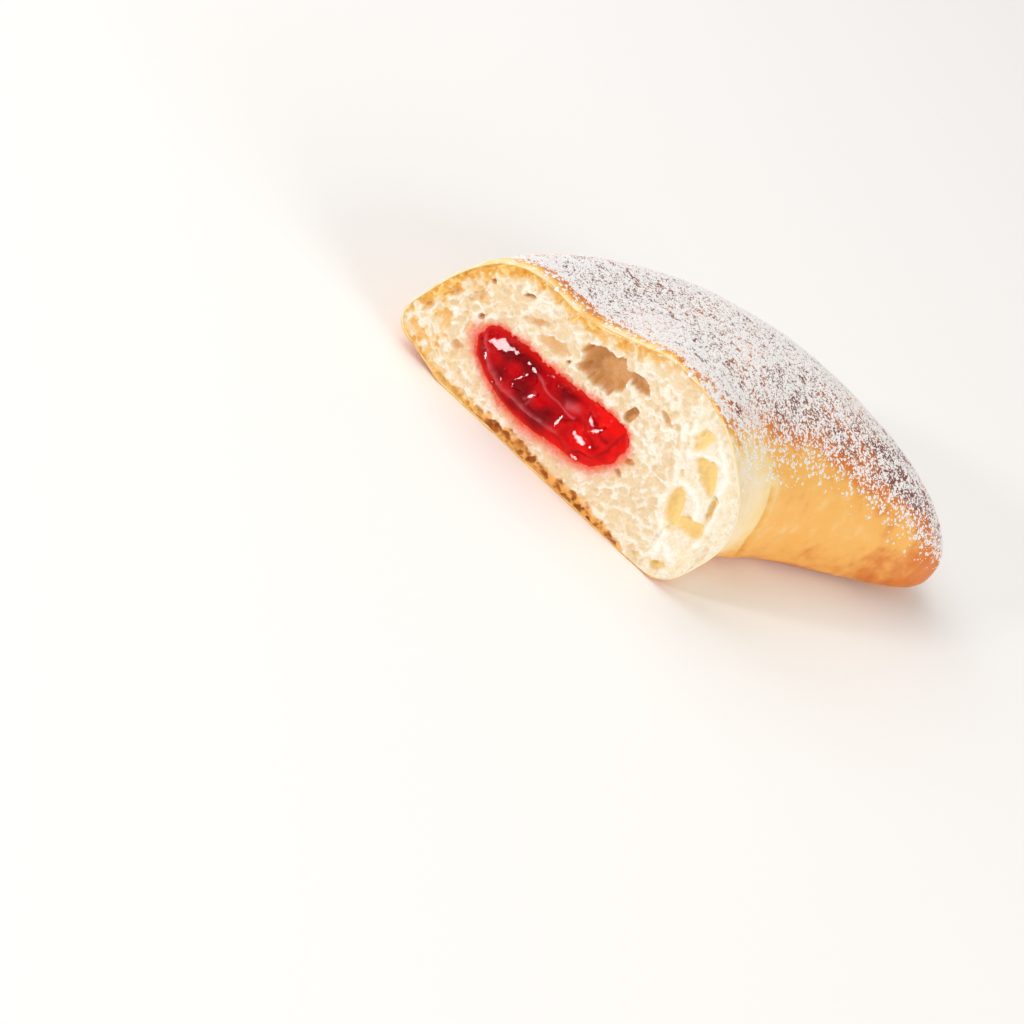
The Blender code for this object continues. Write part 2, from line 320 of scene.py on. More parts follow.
points = read_points(crust.data)
outward = read_points(crust.data, "normal")
points += outward * crust_relief(points, outward)[:, None]
points[:, 2] = np.maximum(points[:, 2], 0)
write_points(crust.data, points)
outer_faces = len(crust.data.polygons)
wall = crust.modifiers.new("wall", "SOLIDIFY")
wall.thickness = CRUST_THICKNESS
wall.offset = -1
finish_modifiers(crust)

# The cut edge of the crust is slightly ragged.
points = read_points(crust.data)
at_edge = 1 - smooth_step((points[:, 1] - CUT_Y) / MM, 0.05, 0.6)
points[:, 1] += at_edge * mixed_waves(points, (0.32, 1.1 * MM, 5), (0.22, 3.4 * MM, 6)) * MM
write_points(crust.data, points)

# Beside the inner part of the cut, sugar and skin were scraped off along these lines.
SCRAPED_MM = [[(-3.6, -38.6, 38.9), (0.5, -36.0, 38.2), (5.9, -32.5, 36.0)],
              [(1.6, -41.3, 36.9), (5.4, -39.4, 35.9), (9.3, -37.0, 34.2), (12.4, -37.6, 31.0)]]


def scraped_share(points):
    """1 along the scraped lines, in streaks, fading to 0 beside them."""
    away = np.minimum(*(away_from_line(points / MM, line) for line in SCRAPED_MM))
    streaks = waves(points * [1, 0.35, 1], 0.8 * MM, 17) + 0.6 * waves(points, 2.0 * MM, 18)
    return (1 - smooth_step(away, 0.6, 2.6)) * smooth_step(streaks, -0.55, 0.45)


def baked_share_and_crease_shade(points, outward, behind_mm):
    """How brown the crust is at each point, with shade painted along the crease as extra brown: 0 is pale
    straw and 1 is dark brown.
    """
    x_mm, z_mm = points[:, 0] / MM, points[:, 2] / MM
    facing_up = outward[:, 2]
    to_tip = smooth_step(x_mm, 24, 57)
    bake_and_crease_shade = 0.49 + 0.44 * smooth_step(facing_up, 0.56, 1.00) + 0.22 * to_tip
    bake_and_crease_shade += mixed_waves(points, (0.10, 11 * MM, 7), (0.08, 4 * MM, 8))
    # The inner side is palest from the cut to the fold.
    inner_side = smooth_step(outward[:, 0], 0.2, 0.8) * (1 - to_tip)
    bake_and_crease_shade -= 0.42 * inner_side * (1 - smooth_step(behind_mm, 9, 27))
    near_cut = (1 - smooth_step(behind_mm, 2, 9)) * (facing_up > -0.5)
    bake_and_crease_shade += near_cut * (mixed_waves(points, (0.32, 2.2 * MM, 11), (0.18, 0.9 * MM, 19)) - 0.34
                        + 0.16 * smooth_step(x_mm, -4, 8))
    # Browned flaky patches lie along the outer part of the cut.
    flaky = np.exp(-((behind_mm - 3.0) / 2.6) ** 2) * smooth_step(-x_mm, -14, -4) * (facing_up > 0.1)
    patches = smooth_step(mixed_waves(points, (1, 3.2 * MM, 13), (0.5, 1.1 * MM, 14)), 0.0, 0.5)
    bake_and_crease_shade += 0.38 * flaky * patches + 0.18 * scraped_share(points)
    # The skin's own cut edge is paler than its outside.
    at_rim = 1 - smooth_step(behind_mm, 0.1, 0.5)
    paler = 0.12 + 0.22 * waves(points, 1.6 * MM, 12) + 0.26 * smooth_step(x_mm, -14, 2)
    bake_and_crease_shade -= at_rim * paler * (z_mm > 2)
    # The foot of the tip is browner and the side next to it lighter. The crease is painted darker, as painted
    # shade in its groove.
    bake_and_crease_shade += 0.34 * smooth_step(-z_mm, -9, -1) * smooth_step(x_mm, 40, 52)
    bake_and_crease_shade -= 0.06 * smooth_step(x_mm, 34, 42) * (1 - smooth_step(x_mm, 46, 54)) * (facing_up < 0.5)
    bake_and_crease_shade += 0.26 * np.exp(-(away_from_line(points / MM, CREASE_MM) / 0.45) ** 2)
    # Neither the sides nor the crust beside the cut turn dark brown. The underside is even.
    bake_and_crease_shade = np.where(facing_up < 0.3, np.minimum(bake_and_crease_shade, 0.76), bake_and_crease_shade)
    bake_and_crease_shade = np.minimum(bake_and_crease_shade, 0.68 + 0.32 * smooth_step(behind_mm, 4, 10))
    under = smooth_step(-facing_up + 0.15 * waves(points, 2 * MM, 15), 0.35, 0.75)
    bake_and_crease_shade += under * (0.66 + 0.12 * waves(points, 3 * MM, 9) - bake_and_crease_shade)
    return np.clip(bake_and_crease_shade, 0, 1)


def sugar_cover(points, facing_up, behind_mm):
    """The share of the crust that icing sugar hides, at each point."""
    x_mm = points[:, 0] / MM
    # It fell straight down, so it lies thick on top and ends where the side turns steep.
    steepest = np.interp(x_mm, [20, 30, 46, 56], [0.64, 0.62, 0.34, 0.30])
    drift = mixed_waves(points, (0.05, 7 * MM, 21), (0.04, 2.6 * MM, 22))
    rise = facing_up + drift - steepest
    cover = 0.10 * smooth_step(rise, -0.22, -0.04) + 0.83 * smooth_step(rise, -0.08, 0.32)
    # Thinner towards the tip, thickest in a band behind the cut.
    cover *= 1 - 0.30 * smooth_step(x_mm, -4, 48)
    thick = np.exp(-((behind_mm - 8) / 6.0) ** 2) * smooth_step(-x_mm, -14, 2)
    cover += 0.26 * thick * smooth_step(rise, 0.05, 0.30)
    # It was rubbed off beside the cut, most at the outer corner.
    bare = np.interp(x_mm, [-56, -40, -24, -12, -4, 4, 12, 20], [6, 5.5, 5.0, 2.4, 1.2, 0.8, 2.2, 4.4])
    ragged = bare * (1 + mixed_waves(points, (0.30, 3 * MM, 23), (0.25, 1.3 * MM, 24)))
    cover *= 0.22 + 0.78 * smooth_step(behind_mm - ragged, -1.2, 1.4)
    cover *= 1 - 0.68 * scraped_share(points)
    return np.clip(cover, 0, 1)


outward = read_points(crust.data, "normal")
behind_mm = (points[:, 1] - CUT_Y) / MM
write_mask(crust.data, "bake_and_crease_shade", baked_share_and_crease_shade(points, outward, behind_mm))
write_mask(crust.data, "sugar", sugar_cover(points, outward[:, 2], behind_mm))

# Egg-glazed baked crust: satin, from pale straw through gold to brown, with a finely pitted
# skin. Icing sugar too fine to model lies on it as a thin matt film.
glazed_crust, tree, shader = new_material("egg_glazed_crust")
where = add_node(tree, "TexCoord", {}, {})["Object"]
# The bake mask also carries the painted shade along the crease.
baked_and_crease_shade = add_node(tree, "Attribute", {"attribute_name": "bake_and_crease_shade"}, {})["Fac"]
dusted = add_node(tree, "Attribute", {"attribute_name": "sugar"}, {})["Fac"]
# Blisters 2.5 mm apart and pits 0.4 mm apart vary the browning.
blotch = add_noise(tree, where, 400.0, 3.0)
pits = add_noise(tree, where, 2500.0, 2.0)
uneven = add_maths(tree, "MULTIPLY_ADD", blotch, 0.30, baked_and_crease_shade)
browning_and_crease_shade = add_maths(tree, "SUBTRACT", uneven, 0.15)
# Each shade: where it starts and ends its rise over the one before it, and its colour.
BAKED_SHADES = [(0.02, 0.26, "#FCDB9C"), (0.24, 0.50, "#FAB95C"), (0.50, 0.76, "#DD7A24"),
                (0.74, 1.00, "#7E4032")]
shade = linear("#FDE8C4")
for start, end, colour in BAKED_SHADES:
    step = add_node(tree, "MapRange", {"interpolation_type": "SMOOTHSTEP"},
                    {"Value": browning_and_crease_shade, "From Min": start, "From Max": end})[0]
    shade = add_mix(tree, step, shade, linear(colour))
# Grains of sugar sift into patches 0.8 mm across, with dark gaps between them.
sifted = add_noise(tree, where, 1250.0, 4.0, Roughness=0.68)
reach = add_maths(tree, "MULTIPLY_ADD", dusted, 0.26, sifted)
film = add_node(tree, "MapRange", {"interpolation_type": "SMOOTHSTEP"},
                {"Value": reach, "From Min": 0.68, "From Max": 0.86, "To Max": 0.40})[0]
coloured = add_mix(tree, film, shade, linear("#E9E6E5"))
satin = add_node(tree, "MapRange", {}, {"Value": film, "To Min": 0.42, "To Max": 0.95})[0]
skin_height = add_maths(tree, "MULTIPLY_ADD", blotch, 0.6, pits)
height = add_maths(tree, "MULTIPLY_ADD", film, 1.6, skin_height)
bump = add_node(tree, "Bump", {}, {"Height": height, "Strength": 0.35, "Distance": 0.12 * MM})[0]
tree.links.new(coloured, shader.inputs["Base Color"])
tree.links.new(satin, shader.inputs["Roughness"])
tree.links.new(bump, shader.inputs["Normal"])
shader.inputs["IOR"].default_value = 1.45
shader.inputs["Subsurface Weight"].default_value = 0.15
shader.inputs["Subsurface Radius"].default_value = (1.0, 0.5, 0.2)
shader.inputs["Subsurface Scale"].default_value = 1.2 * MM
crust.data.materials.append(glazed_crust)
crust.data.shade_smooth()
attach(crust, "root")

# ---- Crumb ----------------------------------------------------------------------------------
# The pale open inside of the bun, with gas bubbles drawn out round the jam, one big cavity
# over it, torn layers where the dough was folded, and a browned bubbly band along its base.

CRUMB_INSET = 0.27 * MM
CRUMB_EDGE_BACK = 0.05 * MM
CRUMB_SPACING = 0.185 * MM
# Behind the cut it keeps this much further inside the crust.
CRUMB_CLEARANCE = 0.9 * MM
# Fine bubbles all over the cut, and browned ones low down: how many are drawn, and the least
# and greatest half width in millimetres.
PORES, PORE_HALF_WIDTHS_MM = 6800, (0.18, 0.85)
BASE_BUBBLES, BASE_BUBBLE_HALF_WIDTHS_MM = 4200, (0.25, 0.80)
BASE_BUBBLES_BELOW_MM = 6
# Bubbles are drawn out round this point, the less so the smaller the number after it.
BUBBLES_ROUND_MM, BUBBLE_BEND = (-6, 13.8), 0.25

# All the forms on the cut are in millimetres: across from the middle, and up from the table.
JAM_OUTLINE_MM = [(-24.5, 13.8), (-23.9, 17.0), (-21.4, 18.9), (-16.5, 19.4), (-9.9, 19.4),
                  (-4.1, 19.9), (1.6, 20.4), (6.4, 20.9), (9.9, 20.4), (11.9, 17.6), (11.2, 13.4),
                  (8.4, 9.4), (4.1, 8.0), (0.2, 7.7), (-3.9, 6.7), (-9.5, 6.3), (-14.2, 7.0),
                  (-18.7, 8.5), (-22.7, 10.8)]
# Each hollow: across, up, half its length and width, its turn in degrees, its depth, and how
# steep its wall is.
HOLLOWS_MM = {
    "cavity": (-1.7, 27.0, 5.2, 4.0, 6, 6.0, 5), "beside_cavity": (6.0, 29.9, 2.7, 1.6, -8, 3.2, 4),
    "third": (8.2, 23.9, 2.1, 1.1, 74, 2.2, 3), "crown": (-17.3, 24.7, 2.6, 0.9, 28, 1.1, 2),
    "over_jam": (-11.6, 23.6, 3.6, 1.4, 14, 1.1, 2), "pin": (-7.6, 23.1, 0.5, 0.4, 0, 1.2, 3),
    "slot": (-21.4, 27.9, 1.6, 0.5, 23, 1.5, 3), "outer": (-26.6, 17.3, 0.9, 0.65, 36, 1.5, 3),
    "outer_low": (-26.9, 9.0, 1.5, 1.0, 18, 1.3, 2), "top_pin": (-28.7, 24.8, 0.65, 0.5, 26, 1.2, 3),
    "top": (-29.3, 20.5, 2.6, 0.9, 58, 1.0, 2), "far": (-36.0, 11.6, 2.0, 0.8, 78, 0.8, 2),
    "corner": (-33.6, 17.6, 1.5, 0.8, 60, 0.9, 2), "below_jam": (13.9, 15.8, 1.1, 0.75, 6, 1.4, 3),
    "under": (13.6, 12.3, 1.2, 0.6, -11, 1.2, 3), "shoulder": (14.0, 28.5, 1.8, 0.7, -25, 0.9, 2),
    "base_pin": (-11.9, 1.4, 1.7, 0.9, 22, 1.6, 3), "base_mid": (-4.9, 2.2, 1.1, 0.8, 2, 1.6, 3),
}
FOLDS_MM = {
    "top": (21.4, 29.8, 3.2, 1.9, 62, 1.8, 3), "middle": (27.0, 25.4, 3.9, 1.7, -40, 2.4, 3),
    "low": (26.0, 15.2, 5.2, 2.0, -66, 2.3, 3), "end": (30.8, 14.4, 3.0, 2.3, 18, 2.6, 3),
    "outer": (31.8, 21.0, 3.0, 0.8, -72, 1.6, 2), "heel": (30.8, 3.6, 1.9, 1.0, 28, 1.8, 3),
    "heel_low": (26.4, 2.0, 1.1, 0.7, -2, 1.2, 2), "gap": (23.2, 21.6, 1.6, 0.6, -60, 1.2, 2),
}
# Strands of dough that stand proud between the torn layers.
STRANDS_MM = [
    [(16.0, 34.0), (18.9, 28.0), (22.6, 20.0), (23.6, 14.0), (27.2, 9.6), (32.2, 6.4)],
    [(18.6, 32.2), (21.6, 26.2), (24.6, 28.6), (27.4, 29.2)],
    [(22.6, 20.6), (25.9, 21.0), (28.6, 20.0), (30.6, 17.0)],
    [(24.9, 32.0), (29.2, 28.6), (31.4, 24.4), (33.4, 19.0), (34.2, 12.0)],
    [(28.0, 10.2), (29.2, 5.8), (27.6, 3.0)],
]


def open_edge(shape):
    """The vertices round the open cut of a skin, in order."""
    edge = next(edge for edge in shape.edges if edge.is_boundary)
    loop = [edge.verts[0]]
    corner = edge.verts[1]
    while corner is not loop[0]:
        loop.append(corner)
        edge = next(other for other in corner.link_edges if other.is_boundary and other is not edge)
        corner = edge.other_vert(corner)
    return loop


def inside_outline(points, outline):
    """Whether each point lies inside a closed outline."""
    inside = np.zeros(len(points), bool)
    for (x1, y1), (x2, y2) in zip(outline, np.roll(outline, -1, axis=0)):
        if y1 != y2:
            crossing = (points[:, 1] < y1) != (points[:, 1] < y2)
            inside ^= crossing & (points[:, 0] < x1 + (points[:, 1] - y1) * (x2 - x1) / (y2 - y1))
    return inside


def into_jam(points):
    """How far each point on the cut lies inside the outline of the jam, in millimetres."""
    away = away_from_line(points, JAM_OUTLINE_MM + JAM_OUTLINE_MM[:1])
    return np.where(inside_outline(points, np.array(JAM_OUTLINE_MM)), away, -away)


def bend(points, spacing, seed):
    """Seeded shifts that make the outlines of forms on the cut irregular."""
    return np.column_stack([waves(points, spacing, seed), waves(points, spacing, seed + 1)])


def close_cut(piece, spacing, seed, depth_at):
    """Closes the open cut with a fine sheet, as deep behind the cut as depth_at says.

    Returns for all vertices the place on the cut in millimetres, and whether it is on the sheet.
    """
    shape = bmesh.new()
    shape.from_mesh(piece.data)
    loop = open_edge(shape)
    edge = np.array([((vertex.co.x - CUT_X) / MM, vertex.co.z / MM) for vertex in loop])
    gap = spacing / MM
    across = np.arange(edge[:, 0].min(), edge[:, 0].max(), gap)
    up = np.arange(edge[:, 1].min(), edge[:, 1].max(), gap * math.sqrt(0.75))
    grid = np.stack(np.meshgrid(across, up), -1)
    grid[1::2, :, 0] += gap / 2
    grid += np.random.default_rng(seed).uniform(-0.22, 0.22, grid.shape) * gap
    grid = grid.reshape(-1, 2)
    grid = grid[inside_outline(grid, edge)]
    grid = grid[away_from_line(grid, np.vstack([edge, edge[:1]])) > 0.6 * gap]
    flat = [Vector(point) for point in np.vstack([edge, grid])]
    round_loop = [(i, (i + 1) % len(loop)) for i in range(len(loop))]
    places, _, faces, _, _, _ = delaunay_2d_cdt(flat, round_loop, [], 1, 1e-7, False)
    flat = np.array([tuple(place) for place in places])
    faces = np.array(faces)[inside_outline(flat[np.array(faces)].mean(1), edge)]
    depth = depth_at(flat[len(loop):])
    corners = list(loop)
    for place, deep in zip(places[len(loop):], depth):
        corners.append(shape.verts.new((CUT_X + place.x * MM, CUT_Y + deep * MM, place.y * MM)))
    for face in faces.tolist():
        shape.faces.new([corners[i] for i in face])
    bmesh.ops.recalc_face_normals(shape, faces=shape.faces)
    first_new = len(shape.verts) - len(places) + len(loop)
    shape.to_mesh(piece.data)
    shape.free()
    points = read_points(piece.data)
    on_sheet = np.arange(len(points)) >= first_new
    return np.column_stack([(points[:, 0] - CUT_X) / MM, points[:, 2] / MM]), on_sheet


def write_sheet_masks(mesh, masks, on_sheet):
    """Stores masks of the sheet that closes the cut. They are 0 on the rest of the mesh."""
    for name, values in masks.items():
        whole = np.zeros(len(on_sheet))
        whole[on_sheet] = np.clip(values, 0, 1)
        write_mask(mesh, name, whole)


def hollow_share(points, across, up, half_length, half_width, turn):
    """How far out from the middle of a turned oval each point is: 0 in the middle, 1 at its rim."""
    cos, sin = math.cos(math.radians(turn)), math.sin(math.radians(turn))
    x, z = points[:, 0] - across, points[:, 1] - up
    return np.hypot((x * cos + z * sin) / half_length, (z * cos - x * sin) / half_width)


def hollow_depth(points, hollows):
    """The depth of the deepest of these hollows at each point."""
    ragged = 1 + mixed_waves(points, (0.16, 1.9, 31), (0.10, 0.8, 32))
    depth = np.zeros(len(points))
    for across, up, half_length, half_width, turn, deep, steep in hollows.values():
        share = hollow_share(points, across, up, half_length, half_width, turn) * ragged
        depth = np.maximum(depth, deep * np.clip(1 - share ** steep, 0, 1) ** 0.6)
    return depth


def pore_depth(points, count, half_widths, seed, highest=math.inf):
    """The depth of many small seeded bubbles, drawn out along the way round the jam."""
    draw = np.random.default_rng(seed)
    tree = KDTree(len(points))
    for i, (x, z) in enumerate(points):
        tree.insert((x, z, 0), i)
    tree.balance()
    depth = np.zeros(len(points))
    low, high = points.min(0), points.max(0)
    least, greatest = half_widths
    for _ in range(count):
        middle = draw.uniform(low, high)
        half_width = least * (greatest / least) ** (draw.random() ** 1.8)
        stretch, spin, deep = draw.uniform(1, 2.1), draw.normal(0, 28), draw.uniform(0.75, 1.25)
        if middle[1] > highest:
            continue
        beside, above = middle - BUBBLES_ROUND_MM
        turn = math.degrees(math.atan2(-beside * BUBBLE_BEND, above)) + spin
        found = tree.find_range((*middle, 0), half_width * stretch * 1.1)
        if not found:
            continue
        rows = np.array([row for _, row, _ in found])
        share = hollow_share(points[rows], *middle, half_width * stretch, half_width, turn)
        depth[rows] = np.maximum(depth[rows], deep * half_width * np.clip(1 - share ** 2.4, 0, 1) ** 0.6)
    return depth


def base_band(points):
    """1 on the browned band along the base of the cut, fading to 0 above it."""
    thick = np.interp(points[:, 0], [-34, -29, -20, -8, 2, 12, 20, 24],
                      [0.9, 1.6, 1.7, 2.3, 2.0, 2.2, 1.6, 0.0])
    floor = np.interp(points[:, 0], [-38.3, -33.3, -26.1, 30], [3.6, 2.2, 0.4, 0.4])
    above = points[:, 1] - floor - thick * (1 + mixed_waves(points, (0.30, 1.7, 33), (0.20, 0.7, 34)))
    return (1 - smooth_step(above, -0.8, 0.7)) * (thick > 0)


def strand_share(points, bent):
    """1 along the strands of dough, fading to 0 beside them."""
    away = np.full(len(points), np.inf)
    for line in STRANDS_MM:
        away = np.minimum(away, away_from_line(bent, line))
    return np.exp(-(away / (0.62 + 0.30 * waves(points, 1.6, 35))) ** 2)


def gold_share(points, from_edge):
    """1 where the crumb is golden: in a flaky band under the top crust, and in the outer corner."""
    band = 1 - smooth_step(from_edge + mixed_waves(points, (1.1, 1.8, 46), (0.7, 0.8, 47)), 0.4, 2.8)
    band *= smooth_step(-points[:, 0], -20, 4) * smooth_step(points[:, 1], 6, 14)
    corner = smooth_step(-points[:, 0], 22, 36) * smooth_step(waves(points, 1.4, 48), -0.3, 0.4)
    return np.clip(band + 0.70 * corner, 0, 1)


def crumb_face(points):
    """The depth of the crumb behind the cut, and the masks of its colours and of the shade painted into its
    hollows.
    """
    to_jam = -into_jam(points)
    bent = points + 0.42 * bend(points, 1.5, 61) + 0.20 * bend(points, 0.6, 63)
    pores = pore_depth(bent, PORES, PORE_HALF_WIDTHS_MM, 41)
    bubbles = pore_depth(bent, BASE_BUBBLES, BASE_BUBBLE_HALF_WIDTHS_MM, 42, BASE_BUBBLES_BELOW_MM)
    holes = hollow_depth(bent * 0.6 + points * 0.4, HOLLOWS_MM)
    folds = 0.8 * hollow_depth(bent * 0.4 + points * 0.6 + 0.5 * bend(points, 3.5, 65), FOLDS_MM)
    base = base_band(points)
    strand = strand_share(points, bent)
    # The inner end is layered: its dough is drawn into long low ridges.
    layered = smooth_step(points[:, 0] + 0.35 * points[:, 1], 27.5, 31)
    drawn = np.column_stack([points[:, 0] * 0.4 + points[:, 1] * 0.1, points[:, 1] * 0.10 + points[:, 0]])
    layers = 0.55 * np.abs(waves(drawn, 1.3, 43)) * layered
    # Soft unevenness and fine torn crumb, with the bubbles sunk into it.
    depth = mixed_waves(points, (0.35, 8.0, 36), (0.20, 3.4, 37))
    depth = depth + mixed_waves(points, (0.12, 1.5, 38), (0.10, 0.75, 39), (0.08, 0.42, 40))
    depth = depth + 0.66 * pores * (1 - 0.55 * layered) * (1 - base)
    depth += base * (bubbles * 1.2 - 0.15) + layers
    # Large hollows are smooth inside, strands stand proud, and the crumb sinks under the jam.
    depth = depth * np.clip(1 - holes / 4, 0.15, 1) + holes
    depth = depth * np.clip(1 - folds / 4, 0.3, 1) + folds - 0.60 * strand * (0.4 + 0.6 * layered)
    depth += 2.6 * smooth_step(-to_jam, 0.1, 1.4)
    from_edge = away_from_line(points, CRUMB_EDGE_MM)
    gold = gold_share(points, from_edge)
    flakes = np.abs(waves(bent, 0.9, 62))
    depth += 0.55 * gold * flakes - 0.10 * gold
    depth *= smooth_step(from_edge, 0.0, 0.7) * 0.80 + 0.20
    depth = np.maximum(depth, -0.9)
    # Jam soaks further into the crumb low down than over the filling.
    soaked = 1.9 + 0.6 * waves(points, 2.6, 44) - 0.9 * smooth_step(points[:, 1], 15, 20)
    outer = -points[:, 0]
    masks = {
        # Painted shade: the bubbles are tinted tan inside, the more the deeper they are.
        "painted_pore_shade": np.clip(pores / 0.55 * (1 - 0.6 * layered) + bubbles * base, 0, 1),
        # Painted shade: the large hollows are tinted warm tan by their depth.
        "cavity": np.clip(holes / 1.1, 0, 1),
        # Painted shade: the hollows of the torn layers are tinted yellow by their depth.
        "fold": np.clip(folds / 1.4 + 0.5 * layers, 0, 1),
        "strand": strand * (0.3 + 0.7 * layered),
        "stain": np.exp(-(np.maximum(to_jam, 0) / soaked) ** 2),
        "gold": gold + base,
        # Painted shade: the pits and flakes in the golden rim are tinted darker gold by their depth.
        "gold_pit_shade": gold * np.clip(pores / 0.45 + 1.2 * flakes - 0.35, 0, 1),
        "base": base * (1 - 0.85 * smooth_step(outer, 12, 20)),
        # The bubbles of the base band are darker brown: browner crust there, and painted shade in their
        # hollows.
        "browned": base * smooth_step(bubbles, 0.12, 0.60) * (1 - 0.7 * smooth_step(outer, 14, 20)),
    }
    return depth, masks


crumb = skin_behind_cut("bread_half", "crumb", 1)
points = read_points(crumb.data)
outward = read_points(crumb.data, "normal")
at_cut = points[:, 1] < CUT_Y + SAME_PLACE
behind_mm = (points[:, 1] - CUT_Y) / MM
points -= outward * (CRUMB_INSET + CRUMB_CLEARANCE * smooth_step(behind_mm, 0.4, 4))[:, None]
points[at_cut, 1] = CUT_Y + CRUMB_EDGE_BACK
write_points(crumb.data, points)
shape = bmesh.new()
shape.from_mesh(crumb.data)
CRUMB_EDGE_MM = [((vertex.co.x - CUT_X) / MM, vertex.co.z / MM) for vertex in open_edge(shape)]
CRUMB_EDGE_MM.append(CRUMB_EDGE_MM[0])
shape.free()
places, on_sheet = close_cut(crumb, CRUMB_SPACING, 45, lambda points: crumb_face(points)[0])
write_sheet_masks(crumb.data, crumb_face(places[on_sheet])[1], on_sheet)

# Enriched white crumb: matt, cream, soft enough for light to pass into it. Shade is painted into it as
# colour: tan in its bubbles, warm tan in its big hollows and yellow in its torn layers. The rim under the
# crust is golden, with painted shade in its pits, and the base is browned, with darker bubbles that are
# partly painted shade. Jam has soaked into it round the filling.
open_crumb, tree, shader = new_material("open_milk_dough_crumb")
where = add_node(tree, "TexCoord", {}, {})["Object"]
# Grain of the crumb walls, 0.5 mm, and cloudiness 4 mm apart.
walls = add_noise(tree, where, 2000.0, 4.0, Roughness=0.6)
cloud = add_noise(tree, where, 250.0, 3.0)
shade = add_mix(tree, cloud, linear("#FFFAF2"), linear("#FAF1E0"))
shreds = add_node(tree, "MapRange", {}, {"Value": walls, "From Min": 0.42, "From Max": 0.70,
                                         "To Max": 0.50})[0]
shade = add_mix(tree, shreds, shade, linear("#EBD4A8"))
# Each tint: the mask it follows, its strength and its colour.
# The tints of the bubbles, golden pits, big hollows and torn layers are painted shade, and the darker brown
# of the base bubbles is partly painted shade.
CRUMB_SHADES = [("painted_pore_shade", 0.66, "#E8C68A"), ("gold", 0.85, "#FAC654"), ("gold_pit_shade", 0.70, "#E6A034"),
                ("cavity", 0.86, "#E8B06A"), ("fold", 0.88, "#FFDB86"), ("strand", 0.92, "#FFFCF5"),
                ("stain", 1.00, "#F04A24"), ("base", 0.90, "#ECA658"), ("browned", 0.85, "#9C450F")]
for name, strength, colour in CRUMB_SHADES:
    mask = add_node(tree, "Attribute", {"attribute_name": name}, {})["Fac"]
    # The fine grain breaks up the edge of each tint.
    broken = add_node(tree, "MapRange", {}, {"Value": walls, "From Min": 0.3, "From Max": 0.7,
                                             "To Min": strength * 0.8, "To Max": strength})[0]
    shade = add_mix(tree, add_maths(tree, "MULTIPLY", mask, broken), shade, linear(colour))
bump = add_node(tree, "Bump", {}, {"Height": walls, "Strength": 0.9, "Distance": 0.24 * MM})[0]
tree.links.new(shade, shader.inputs["Base Color"])
tree.links.new(bump, shader.inputs["Normal"])
shader.inputs["Roughness"].default_value = 0.85
shader.inputs["IOR"].default_value = 1.4
shader.inputs["Specular IOR Level"].default_value = 0.25
shader.inputs["Subsurface Weight"].default_value = 0.22
shader.inputs["Subsurface Radius"].default_value = (1.0, 0.6, 0.3)
shader.inputs["Subsurface Scale"].default_value = 0.8 * MM
crumb.data.materials.append(open_crumb)
crumb.data.shade_smooth()
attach(crumb, "root")
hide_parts("bread_half")

# ---- Jam ------------------------------------------------------------------------------------
# Set red jam that fills the middle of the bun. Where it was cut it swells out a little, with
# skins drawn across it, torn glossy facets, and soft lumps of fruit at its inner end.

JAM_EDGE_BACK = 0.8 * MM
# The jam runs on this far behind the crumb round its outline.
JAM_UNDER_MM = 0.55
JAM_SPACING = 0.16 * MM
ALMOST_NOTHING = 1e-9
JAM_MIDDLE_MM = np.array([-6.1, 13.8])
# How far a facet of the jam rises for each millimetre across and up, so that it faces the
# window, and how that changes for each millimetre away from the middle of the cut.
FACET_RISE = np.array([0.258, -0.467])
FACET_RISE_CHANGE = np.array([0.00167, 0.0016])
FACET_MIDDLE_MM = np.array([0, 14])
# Each skin: its line, its half width and how proud it stands.
JAM_SKINS_MM = [
    ([(-23.2, 15.6), (-20.6, 12.6), (-18.1, 10.9), (-14.3, 9.7), (-10.5, 9.5), (-5.7, 9.8), (-1.2, 10.4)],
     0.60, 0.45),
    ([(-10.8, 17.0), (-8.3, 16.5), (-5.4, 15.8), (-2.7, 15.6), (0.2, 15.4)], 0.28, 0.25),
    ([(-2.4, 16.6), (-0.2, 17.2)], 0.80, 0.15),
    ([(-9.9, 11.3), (-8.8, 13.8), (-8.9, 11.0)], 0.35, 0.15),
]
# Layers of fruit lie over one another along these creases at the inner end.
JAM_CREASES_MM = [
    [(-1.2, 9.0), (3.5, 9.4), (7.1, 12.0), (9.4, 15.5), (9.6, 19.4)],
    [(-1.4, 13.6), (0.8, 15.4), (3.0, 15.6), (4.6, 14.2), (7.0, 14.6)],
    [(2.0, 18.6), (5.2, 16.6), (8.2, 17.2)],
]
# Each lump: across, up, half its length and width, its turn in degrees and its height.
JAM_LUMPS_MM = [
    (-0.2, 12.6, 3.6, 2.4, 20, 0.55), (5.2, 12.8, 3.3, 2.4, 40, 0.6), (7.6, 17.6, 2.8, 2.2, 30, 0.55),
    (4.6, 10.2, 3.4, 1.2, 20, 0.4), (3.2, 18.6, 3.4, 1.4, 10, 0.4), (-19.3, 16.2, 4.2, 2.2, 20, 0.6),
    (-12.6, 12.8, 2.6, 1.6, 50, 0.4), (-7.4, 13.2, 3.2, 1.8, -20, 0.45), (-14.6, 16.6, 2.8, 1.5, 0, 0.35),
    (-4.3, 17.6, 2.6, 1.3, -20, 0.35),
]
